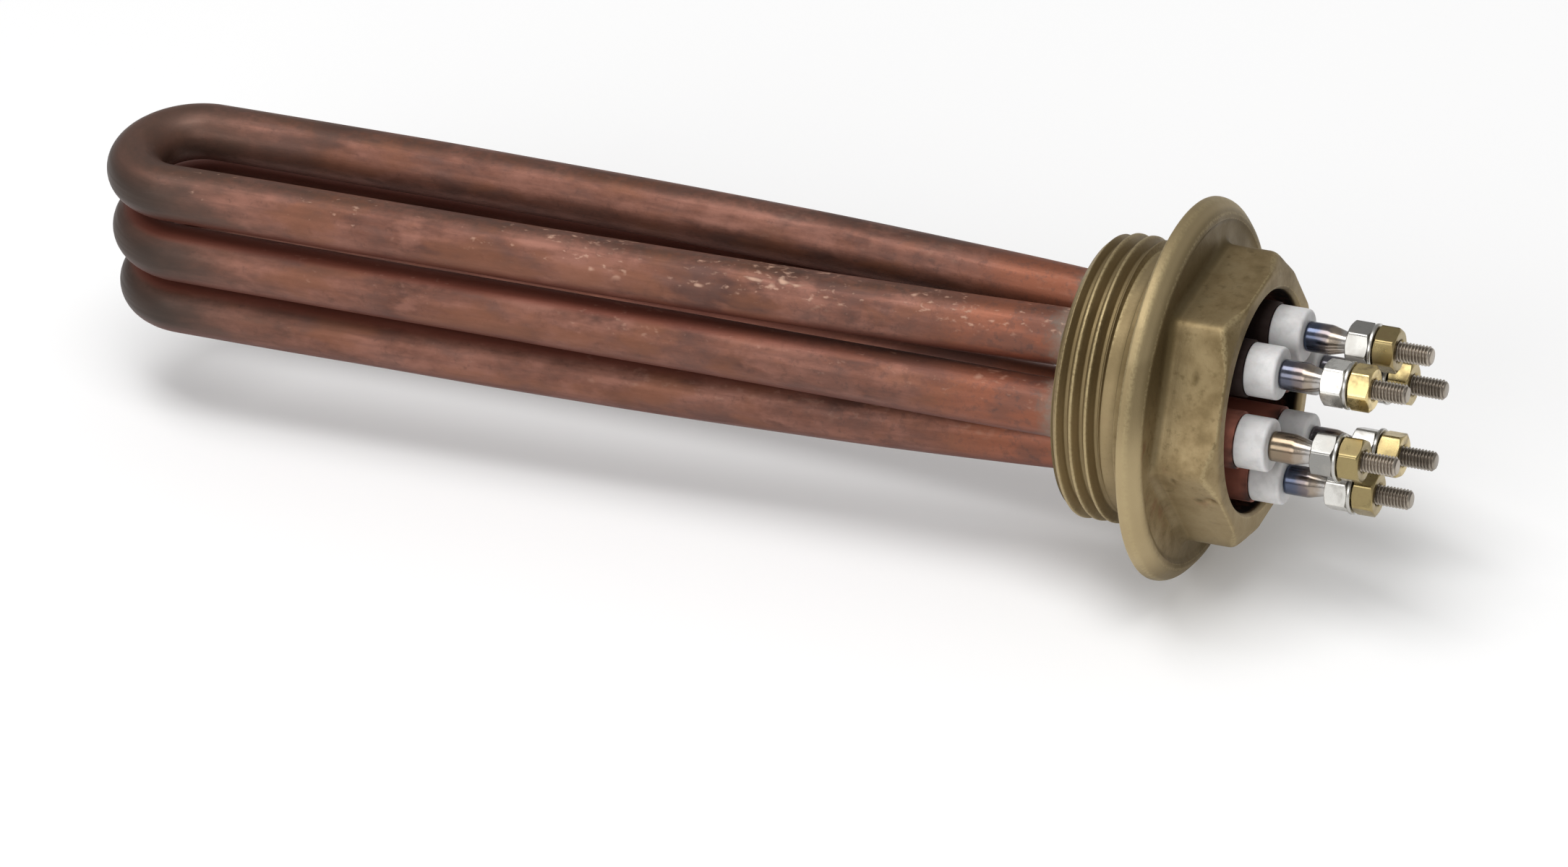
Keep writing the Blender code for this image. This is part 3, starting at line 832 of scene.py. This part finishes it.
def browned(tube):
    """Red-brown ground with pale and dark clouds, brown film in streaks and blotches, and rust."""
    colour = painted(ranged(tube.clouds, 0.42, 0.72), COPPER_GROUND, COPPER_PALE)
    colour = painted(ranged(tube.clouds, 0.50, 0.30, 0.0, 0.8), colour, COPPER_DARK)
    colour = painted(ranged(tube.streaks, 0.48, 0.68, 0.0, 0.3), colour, BROWN_FILM)
    colour = painted(ranged(tube.mottle, 0.52, 0.74, 0.0, 0.5), colour, COPPER_DARK)
    colour = painted(ranged(tube.blotches, 0.47, 0.70, 0.0, 0.75), colour, BROWN_FILM)
    colour = painted(ranged(tube.blotches, 0.50, 0.32, 0.0, 0.75), colour, COPPER_PALE)
    return painted(ranged(tube.tints, 0.46, 0.66, 0.0, 0.6), colour, COPPER_RUST)


def weathered_and_shaded(tube, colour, sooty_tip):
    """Olive film over the tip, olive film and painted shade along the top edge, and painted shade on
    the bend's outer side.
    """
    # Olive film with painted shade along the top edge
    upper = times(ranged(tube.height, 3.5 * MM, 4.4 * MM),
                  ranged(tube.mottle, 0.35, 0.60, 0.1, 0.55))
    colour = painted(upper, colour, OLIVE_FILM_AND_SHADE)
    soot = plus(tube.x, times(tube.clouds, 60.0))
    colour = painted(ranged(soot, -96.0, -136.0, 0.0, sooty_tip), colour, OLIVE_FILM_AND_SHADE)
    # Painted shade, near black, on the bend's outer side
    outside = times(ranged(tube.side, -1.2 * MM, -4.2 * MM, 0.0, 0.85),
                    ranged(tube.x, -146.0, -160.0))
    return painted(outside, colour, BEND_EDGE_SHADE)


def heated(tube, colour):
    """Brighter red by the plug, and singed brown in patches some way along from it."""
    heat = plus(tube.x, times(tube.mottle, 26.0))
    colour = painted(ranged(heat, -26.0, -11.0, 0.0, 0.7), colour, COPPER_RED)
    near_plug = times(ranged(tube.x, -75.0, -35.0), ranged(tube.x, -9.0, -14.0))
    singed = plus(ranged(tube.tints, 0.50, 0.36, 0.0, 0.5),
                  ranged(tube.mottle, 0.50, 0.62, 0.0, 0.4))
    return painted(times(near_plug, singed), colour, BROWN_FILM)


def shaded_below_lit_above(tube, colour, covered):
    """Painted shade in deep red underneath, and painted light in wine red on top where another tube
    lies over this one.
    """
    # Painted shade: deep red underneath
    below = ranged(tube.height, -0.6 * MM, -3.4 * MM, 0.0, 0.8)
    colour = painted(below, colour, DEEP_RED_SHADE)
    if not covered:
        return colour
    # Painted light: wine red on top where another tube covers this one
    above = times(ranged(tube.height, 3.3 * MM, 4.1 * MM, 0.0, 0.8),
                  ranged(tube.x, -90.0, -30.0, 1.0, 0.2))
    return painted(above, colour, WINE_RED_LIGHT)


def scale_specks(tube, limed):
    """Share of pale scale, which sits on the crests of a fine and a coarse noise.

    It is thickest in patches and near the plug, on the upper half, and mostly on the front leg.
    """
    patches = plus(ranged(tube.patches, 0.36, 0.62, -0.08, 0.04),
                   ranged(tube.x, -160.0, -30.0, -0.06, 0.045))
    fine = ranged(plus(tube.fine_crumbs, patches), 0.60, 0.80)
    coarse = ranged(plus(tube.coarse_crumbs, patches), 0.72, 0.86)
    specks = together("MAXIMUM", times(fine, 0.6), coarse)
    ridge = times(ranged(tube.height, 0.4 * MM, 2.4 * MM),
                  ranged(tube.length, 0.198, 0.206, 0.12, 1.0))
    return times(times(specks, ridge), limed)


def sheath_copper(name, seed, limed, sooty_tip, mouth_shade_reach, covered):
    """Browned copper, red by the plug, with a flux film at its root, pale scale and drawn streaks.

    Limed and sooty_tip are the shares of scale and of olive film on the tip; the argument after them
    is how far in millimetres the painted black shade reaches in from the mouths; covered tubes have
    another one over them and get painted light on top.
    """
    material, tree, shader = material_of(name, 0.6, 0.5)
    tube = tube_patterns(tree, seed)
    colour = browned(tube)
    colour = weathered_and_shaded(tube, colour, sooty_tip)
    colour = heated(tube, colour)
    colour = shaded_below_lit_above(tube, colour, covered)
    film_edge = plus(tube.x, times(tube.mottle, 5.0))
    fluxed = ranged(film_edge, -15.8, -11.5, 0.0, 0.75)
    colour = painted(fluxed, colour, FLUX_FILM)
    specks = scale_specks(tube, limed)
    colour = painted(times(specks, 0.8), colour, PALE_SCALE)
    colour = painted(ranged(tube.x, -3.0, 1.0, 0.0, 0.96), colour, COPPER_MOUTH)
    # Painted shade: near black inside the chamber, reaching in from the mouths
    mouth_shade_depth = plus(tube.x, times(tube.tints, 14.0))
    mouth_shade = ranged(mouth_shade_depth, 17.0 - mouth_shade_reach, 22.0 - mouth_shade_reach, 0.0, 0.95)
    colour = painted(mouth_shade, colour, MOUTH_SHADE_BLACK)
    tree.links.new(colour, shader.inputs["Base Color"])
    dull = together("MAXIMUM", specks, fluxed)
    metallic = plus(ranged(dull, 0.0, 0.75, 0.6, 0.05), times(mouth_shade, 0.4))
    tree.links.new(metallic, shader.inputs["Metallic"])
    rough = plus(ranged(tube.streaks, 0.3, 0.7, 0.44, 0.58), times(dull, 0.35))
    tree.links.new(rough, shader.inputs["Roughness"])
    raised = plus(times(tube.grain, 0.5), times(tube.streaks, 0.6))
    relief(shader, plus(raised, times(specks, 1.5)), 0.03)
    return material


# Each hairpin's skin: share of scale, share of olive film on the tip, reach of the painted black
# shade in millimetres from the mouths, and whether another tube lies over it
SKINS = {
    "top": (1.0, 0.7, 10.0, False),
    "middle": (0.4, 0.5, 0.0, True),
    "bottom": (0.2, 0.6, 0.0, True),
}
for seed, (row, hairpin) in enumerate(HAIRPINS.items(), start=1):
    sheath = "sheath_tube_" + row
    add_piece(sheath, sheath_mesh(sheath, hairpin_line(*hairpin), seed),
              sheath_copper("browned_copper_" + row, seed, *SKINS[row]),
              "sheath_" + row)

# Braze fillets.
# Silver braze drawn into the joint between each leg and the plug's inner end, uneven by hand, with
# grey flux left on it.
FILLET_AROUND = 48
FILLET_OUTER = 5.15 * MM
FILLET_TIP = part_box("braze_ring_1")[0].x
FILLET_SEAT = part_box("braze_ring_1")[1].x + 0.25 * MM
FILLET_INNER = TUBE_RADIUS - 0.05 * MM
# Waves of a fillet's edge: depth in millimetres, lobes round the tube, shift for each leg
FILLET_WAVES = (
    (0.16, 3, 1.0),
    (0.10, 5, 2.3),
)


def leg_centre(leg):
    """Place of a leg's axis at the plug."""
    return np.array((0.0, LEG_RING * math.cos(LEG_ANGLES[leg]), LEG_RING * math.sin(LEG_ANGLES[leg])))


def fillet_mesh(name, leg):
    """Ring with a hollow slope from the plug's face up to the tube, its edge waved by two sines."""
    angle = turns(FILLET_AROUND)
    wave = sum(depth * np.sin(lobes * angle + shift * leg) for depth, lobes, shift in FILLET_WAVES)
    middle = (FILLET_INNER + FILLET_OUTER) / 2
    length = FILLET_SEAT - FILLET_TIP
    rows = corners_of([
        (FILLET_SEAT, FILLET_INNER),
        (FILLET_SEAT, FILLET_OUTER),
        (FILLET_SEAT - 0.35 * length, middle + wave * 0.5 * MM),
        (FILLET_TIP + (0.25 + wave) * MM, FILLET_INNER + 0.12 * MM),
        (FILLET_TIP + (0.15 + wave) * MM, FILLET_INNER),
    ], FILLET_AROUND)
    easing = [0.0, 0.12, 0.3, 0.06, 0.0]
    rows = rounded(rows, [setback * MM for setback in easing], looped=True, steps=4)
    return mesh_of(name, [(turned(rows) + leg_centre(leg), rows[..., 2], True)])


BRAZE_METAL = (0.17, 0.135, 0.09)
GREY_FLUX = (0.40, 0.39, 0.33)


def flux_crust(name):
    """Braze metal under a grey-green flux crust, rough and blotched."""
    material, tree, shader = material_of(name, 0.3, 0.7)
    place = object_millimetres(tree)
    blotch = noise(place, 0.9, 5.0, 0.65)
    colour = painted(ranged(blotch, 0.35, 0.65), BRAZE_METAL, GREY_FLUX)
    tree.links.new(colour, shader.inputs["Base Color"])
    relief(shader, noise(place, 2.2, 4.0, 0.7), 0.12)
    return material


for leg in range(6):
    tail = "_" + str(leg + 1)
    add_piece("braze_fillet" + tail, fillet_mesh("braze_fillet" + tail, leg),
              flux_crust("flux_crust" + tail), "braze_ring" + tail)

# Insulating bushes.
# Pressed and fired white ceramic, a head on the tube's mouth and a spigot in it, bored for the pin.
BUSH_AROUND = 48
BUSH_HEAD_RADIUS = 3.9 * MM
BUSH_BORE = 1.6 * MM
BUSH_SPIGOT_RADIUS = TUBE_BORE - 0.3 * MM
BUSH_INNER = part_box("insulating_bush_1")[0].x
BUSH_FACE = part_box("insulating_bush_1")[1].x
BUSH_SEAT = TUBE_MOUTH + 0.03 * MM


def bush_mesh(name, leg):
    """Stepped ring turned about the leg's axis, its edges eased as pressed ceramic is."""
    rows = corners_of([
        (BUSH_INNER, BUSH_BORE),
        (BUSH_INNER, BUSH_SPIGOT_RADIUS),
        (BUSH_SEAT, BUSH_SPIGOT_RADIUS),
        (BUSH_SEAT, BUSH_HEAD_RADIUS),
        (BUSH_FACE, BUSH_HEAD_RADIUS),
        (BUSH_FACE, BUSH_BORE),
    ], BUSH_AROUND)
    easing = [0.2, 0.4, 0.1, 0.3, 0.6, 0.25]
    rows = rounded(rows, [setback * MM for setback in easing], looped=True)
    return mesh_of(name, [(turned(rows) + leg_centre(leg), rows[..., 2], True)])


CERAMIC_WHITE = (0.70, 0.69, 0.685)
CERAMIC_GREY = (0.56, 0.55, 0.545)
CERAMIC_SPECK = (0.38, 0.34, 0.30)


def fired_ceramic(name, seed):
    """Off-white ceramic with a soft sheen, faint grey handling marks and a few dark specks."""
    material, tree, shader = material_of(name, 0.0, 0.42)
    place = object_millimetres(tree, shift=(seed * 11.0, 0.0, 0.0))
    marks = noise(place, 0.35, 4.0, 0.6)
    specks = noise(place, 2.6, 2.0, 0.5)
    colour = painted(ranged(marks, 0.40, 0.72), CERAMIC_WHITE, CERAMIC_GREY)
    colour = painted(ranged(specks, 0.72, 0.80, 0.0, 0.4), colour, CERAMIC_SPECK)
    tree.links.new(colour, shader.inputs["Base Color"])
    shader.inputs["Subsurface Weight"].default_value = 0.12
    shader.inputs["Subsurface Scale"].default_value = 0.6 * MM
    relief(shader, noise(place, 4.0, 3.0, 0.6), 0.012)
    return material


for leg in range(6):
    tail = "_" + str(leg + 1)
    add_piece("ceramic_bush" + tail, bush_mesh("ceramic_bush" + tail, leg),
              fired_ceramic("fired_ceramic" + tail, leg),
              "insulating_bush" + tail)

# Terminal pins.
# Each is one steel turning: cold pin, shoulder, taper and a stud with a rolled thread. The shoulder
# has run blue, purple and straw from the heat of welding.
PIN_AROUND = 32
PIN_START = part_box("terminal_pin_1")[0].x
STUD_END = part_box("terminal_pin_1")[1].x
COLD_PIN_RADIUS = 1.3 * MM
SHOULDER_RADIUS = 2.2 * MM
SHOULDER_SEAT = BUSH_FACE + 0.03 * MM
SHOULDER_END = BUSH_FACE + 3.6 * MM
TAPER_END = SHOULDER_END + 2.6 * MM
STUD_CREST = 1.5 * MM
STUD_ROOT = 1.2 * MM
STUD_PITCH = 0.5 * MM
STUD_POINT_RADIUS = STUD_ROOT - 0.15 * MM
STUD_FACE_RADIUS = STUD_ROOT - 0.2 * MM
STUD_ROWS_PER_PITCH = 12


def pin_mesh(name, leg):
    """Profile along the leg's axis from the cold pin to the stud's point, both ends closed.

    The thread grows out of the taper over its first turn and ends in a cone of 45 degrees.
    """
    corners = corners_of([
        (PIN_START, 0.0),
        (PIN_START, COLD_PIN_RADIUS),
        (SHOULDER_SEAT, COLD_PIN_RADIUS),
        (SHOULDER_SEAT, SHOULDER_RADIUS),
        (SHOULDER_END, SHOULDER_RADIUS),
        (TAPER_END, STUD_CREST),
    ], PIN_AROUND)
    easing = [0.0, 0.2, 0.1, 0.3, 0.35, 0.0]
    body = rounded(corners, [setback * MM for setback in easing], steps=4)
    stud = thread_rows(TAPER_END, STUD_END - 0.02 * MM, STUD_CREST, STUD_ROOT, STUD_PITCH,
                       TAPER_END + leg * 0.08 * MM, PIN_AROUND, STUD_ROWS_PER_PITCH)
    stud[..., 1] = np.minimum(stud[..., 1], STUD_POINT_RADIUS + (STUD_END - stud[..., 0]))
    start = np.clip((stud[..., 0] - TAPER_END) / STUD_PITCH, 0.0, 1.0)
    stud[..., 1] = STUD_CREST + (stud[..., 1] - STUD_CREST) * start
    tip = corners_of([(STUD_END, STUD_FACE_RADIUS), (STUD_END, 0.0)], PIN_AROUND)
    rows = np.concatenate([body, stud[1:], tip])
    return mesh_of(name, [(turned(rows) + leg_centre(leg), rows[..., 2], False)])


# Each temper colour as it is on the coolest pin and on the warmest one
TEMPER_BLUE = ((0.070, 0.090, 0.145), (0.240, 0.185, 0.125))
TEMPER_PURPLE = ((0.170, 0.145, 0.150), (0.260, 0.190, 0.130))
TEMPER_STRAW = (0.36, 0.30, 0.24)
BRIGHT_STEEL = (0.50, 0.48, 0.46)
STUD_GREY = (0.33, 0.29, 0.24)
STUD_SOOT = (0.17, 0.14, 0.12)


def between(first, second, share):
    """The colour a share of the way from one colour to another."""
    return tuple(start + (end - start) * share for start, end in zip(first, second))


def tempered_steel(name, seed, warmth, stud_brightness):
    """Steel whose temper colours fade from the bush outwards; warmth turns blue towards bronze.

    The stud is grey steel, with soot in the roots of its thread.
    """
    blue = between(*TEMPER_BLUE, warmth)
    purple = between(*TEMPER_PURPLE, warmth)
    grey = tuple(part * stud_brightness for part in STUD_GREY)
    material, tree, shader = material_of(name, 0.95, 0.3)
    place = object_millimetres(tree, shift=(seed * 13.0, 0.0, 0.0))
    x = axis_part(object_millimetres(tree), "X")
    cloud = noise(place, 0.8, 4.0, 0.6)
    seat = SHOULDER_SEAT / MM
    stud = TAPER_END / MM
    heat = plus(x, times(cloud, 2.4))
    colour = painted(ranged(heat, seat + 2.6, seat + 4.4), blue, purple)
    colour = painted(ranged(heat, seat + 4.4, seat + 5.6), colour, TEMPER_STRAW)
    colour = painted(ranged(heat, seat + 5.8, seat + 7.2), colour, BRIGHT_STEEL)
    colour = painted(ranged(x, stud, stud + 0.8), colour, grey)
    tone = attribute_of(tree, "tone", "Fac")
    colour = painted(ranged(tone, 0.3, -0.9, 0.0, 0.75), colour, STUD_SOOT)
    tree.links.new(colour, shader.inputs["Base Color"])
    rough = plus(ranged(cloud, 0.3, 0.7, 0.14, 0.24),
                 ranged(x, stud - 0.8, stud + 0.8, 0.0, 0.16))
    tree.links.new(rough, shader.inputs["Roughness"])
    relief(shader, noise(place, 3.5, 3.0, 0.6), 0.004)
    return material


# How warm each pin's temper colours are, and how bright its stud is
PIN_WARMTH = (0.3, 0.0, 0.15, 1.0, 0.0, 0.4)
STUD_BRIGHTNESS = (1.0, 1.35, 1.2, 1.35, 1.1, 0.9)
for leg in range(6):
    tail = "_" + str(leg + 1)
    add_piece("stud_pin" + tail, pin_mesh("stud_pin" + tail, leg),
              tempered_steel("tempered_steel" + tail, leg, PIN_WARMTH[leg], STUD_BRIGHTNESS[leg]),
              "terminal_pin" + tail)

# Nuts and washers.
# On each stud a nickel-plated lock nut, a thin plated washer and a brass terminal nut, cut from
# hexagon bar with both ends chamfered, each left at its own turn.
NUT_AROUND = 72
NUT_FLAT = 3.0 * MM
NUT_BORE = 1.56 * MM
NUT_FACE = 2.93 * MM
NUT_SOFTNESS = 120
NUT_SINK = 0.3 * MM
NUT_EDGE = 0.02 * MM
NUT_SEAT_GAP = 0.03 * MM
# Each nut's turn in degrees
LOCK_NUT_TURNS = (5, 0, -7, 24, 15, 30)
TERMINAL_NUT_TURNS = (25, 9, -7, 20, 10, 38)
WASHER_AROUND = 48
WASHER_RADIUS = 3.5 * MM
WASHER_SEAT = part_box("washer_1")[0].x
WASHER_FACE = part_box("washer_1")[1].x


def nut_mesh(name, node, leg, degrees):
    """Hexagon ring between two chamfered ends, its bore countersunk, turned about the leg's axis.

    The end by the washer is drawn up to it.
    """
    seat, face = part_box(node)[0].x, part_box(node)[1].x
    if face < WASHER_SEAT:
        face = WASHER_SEAT - NUT_SEAT_GAP
    else:
        seat = WASHER_FACE + NUT_SEAT_GAP
    hexed = hexagon(NUT_FLAT, NUT_AROUND, NUT_SOFTNESS)
    ring = np.minimum(hexed, NUT_FACE)
    drop = (hexed - ring) * HEXAGON_CHAMFER + NUT_EDGE
    rows = corners_of([
        (seat, NUT_BORE + NUT_SINK),
        (seat, ring - NUT_EDGE),
        (seat + drop, hexed),
        (face - drop, hexed),
        (face, ring - NUT_EDGE),
        (face, NUT_BORE + NUT_SINK),
        (face - NUT_SINK, NUT_BORE),
        (seat + NUT_SINK, NUT_BORE),
    ], NUT_AROUND)
    easing = [0.05, 0.08, 0.08, 0.08, 0.08, 0.05, 0.05, 0.05]
    rows = rounded(rows, [setback * MM for setback in easing], looped=True, steps=3)
    turn = np.array(Matrix.Rotation(math.radians(degrees), 3, "X"))
    return mesh_of(name, [(turned(rows) @ turn.T + leg_centre(leg), rows[..., 2], True)])


def washer_mesh(name, leg):
    """Flat ring with eased edges."""
    rows = corners_of([
        (WASHER_SEAT, NUT_BORE),
        (WASHER_SEAT, WASHER_RADIUS),
        (WASHER_FACE, WASHER_RADIUS),
        (WASHER_FACE, NUT_BORE),
    ], WASHER_AROUND)
    rows = rounded(rows, [0.08 * MM, 0.2 * MM, 0.2 * MM, 0.08 * MM], looped=True, steps=3)
    return mesh_of(name, [(turned(rows) + leg_centre(leg), rows[..., 2], True)])


CORNER_DIRT = (0.05, 0.04, 0.03)


def plating(name, seed, body, stain):
    """Bright metal with a few stains and fine turning marks, duller in its corners."""
    material, tree, shader = material_of(name, 1.0, 0.22)
    place = object_millimetres(tree, shift=(seed * 7.0, seed * 3.0, 0.0))
    cloud = noise(place, 0.45, 4.0, 0.6)
    fine = noise(place, 2.4, 4.0, 0.6)
    tone = attribute_of(tree, "tone", "Fac")
    colour = painted(ranged(cloud, 0.45, 0.75, 0.0, 0.85), body, stain)
    colour = painted(ranged(tone, -0.1, -0.9, 0.0, 0.8), colour, CORNER_DIRT)
    tree.links.new(colour, shader.inputs["Base Color"])
    tree.links.new(ranged(cloud, 0.3, 0.7, 0.24, 0.36), shader.inputs["Roughness"])
    relief(shader, fine, 0.002)
    return material


NICKEL = (0.52, 0.51, 0.48)
STAINED_NICKEL = (0.38, 0.36, 0.33)
NUT_BRASS = (0.47, 0.37, 0.175)
STAINED_BRASS = (0.27, 0.20, 0.10)
# Painted light and shade: how much brighter or darker each stud's nickel nut and brass nut are
# painted as a whole
NICKEL_PAINTED_LIGHT = (1.0, 0.75, 1.7, 0.55, 1.4, 1.0)
BRASS_NUT_PAINTED_LIGHT = (0.9, 0.7, 1.6, 0.68, 0.75, 1.2)
for leg in range(6):
    nickel = tuple(part * NICKEL_PAINTED_LIGHT[leg] for part in NICKEL)
    brass = tuple(part * BRASS_NUT_PAINTED_LIGHT[leg] for part in NUT_BRASS)
    tail = "_" + str(leg + 1)
    lock, terminal = "lock_nut" + tail, "terminal_nut" + tail
    add_piece("nickel_nut" + tail, nut_mesh("nickel_nut" + tail, lock, leg, LOCK_NUT_TURNS[leg]),
              plating("nut_nickel" + tail, leg, nickel, STAINED_NICKEL), lock)
    add_piece("nickel_washer" + tail, washer_mesh("nickel_washer" + tail, leg),
              plating("washer_plate" + tail, leg + 6, NICKEL, STAINED_NICKEL), "washer" + tail)
    add_piece("brass_nut" + tail,
              nut_mesh("brass_nut" + tail, terminal, leg, TERMINAL_NUT_TURNS[leg]),
              plating("nut_brass" + tail, leg + 12, brass, STAINED_BRASS), terminal)

# Magnesia and resistance coils.
# Packed white powder holds the coiled wire in the middle of each sheath. Both keep their CAD shape,
# since the copper hides them.
POWDER_SHADE = (0.70, 0.69, 0.65)
POWDER_WHITE = (0.86, 0.85, 0.82)
WIRE_GREY = (0.22, 0.22, 0.21)
WIRE_GREEN = (0.36, 0.35, 0.32)


def packed_powder(name):
    """Chalky white powder with fine grain."""
    material, tree, shader = material_of(name, 0.0, 0.95)
    grain = noise(object_millimetres(tree), 2.0, 5.0, 0.7)
    colour = painted(ranged(grain, 0.3, 0.7), POWDER_SHADE, POWDER_WHITE)
    tree.links.new(colour, shader.inputs["Base Color"])
    relief(shader, grain, 0.08)
    return material


def oxidised_wire(name):
    """Resistance wire under a grey-green oxide."""
    material, tree, shader = material_of(name, 0.9, 0.45)
    film = noise(object_millimetres(tree), 1.2, 4.0, 0.6)
    colour = painted(ranged(film, 0.35, 0.65), WIRE_GREY, WIRE_GREEN)
    tree.links.new(colour, shader.inputs["Base Color"])
    return material


for row in HAIRPINS:
    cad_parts["magnesia_" + row].material_slots[0].material = packed_powder("powder_" + row)
    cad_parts["resistance_coil_" + row].material_slots[0].material = oxidised_wire("wire_" + row)
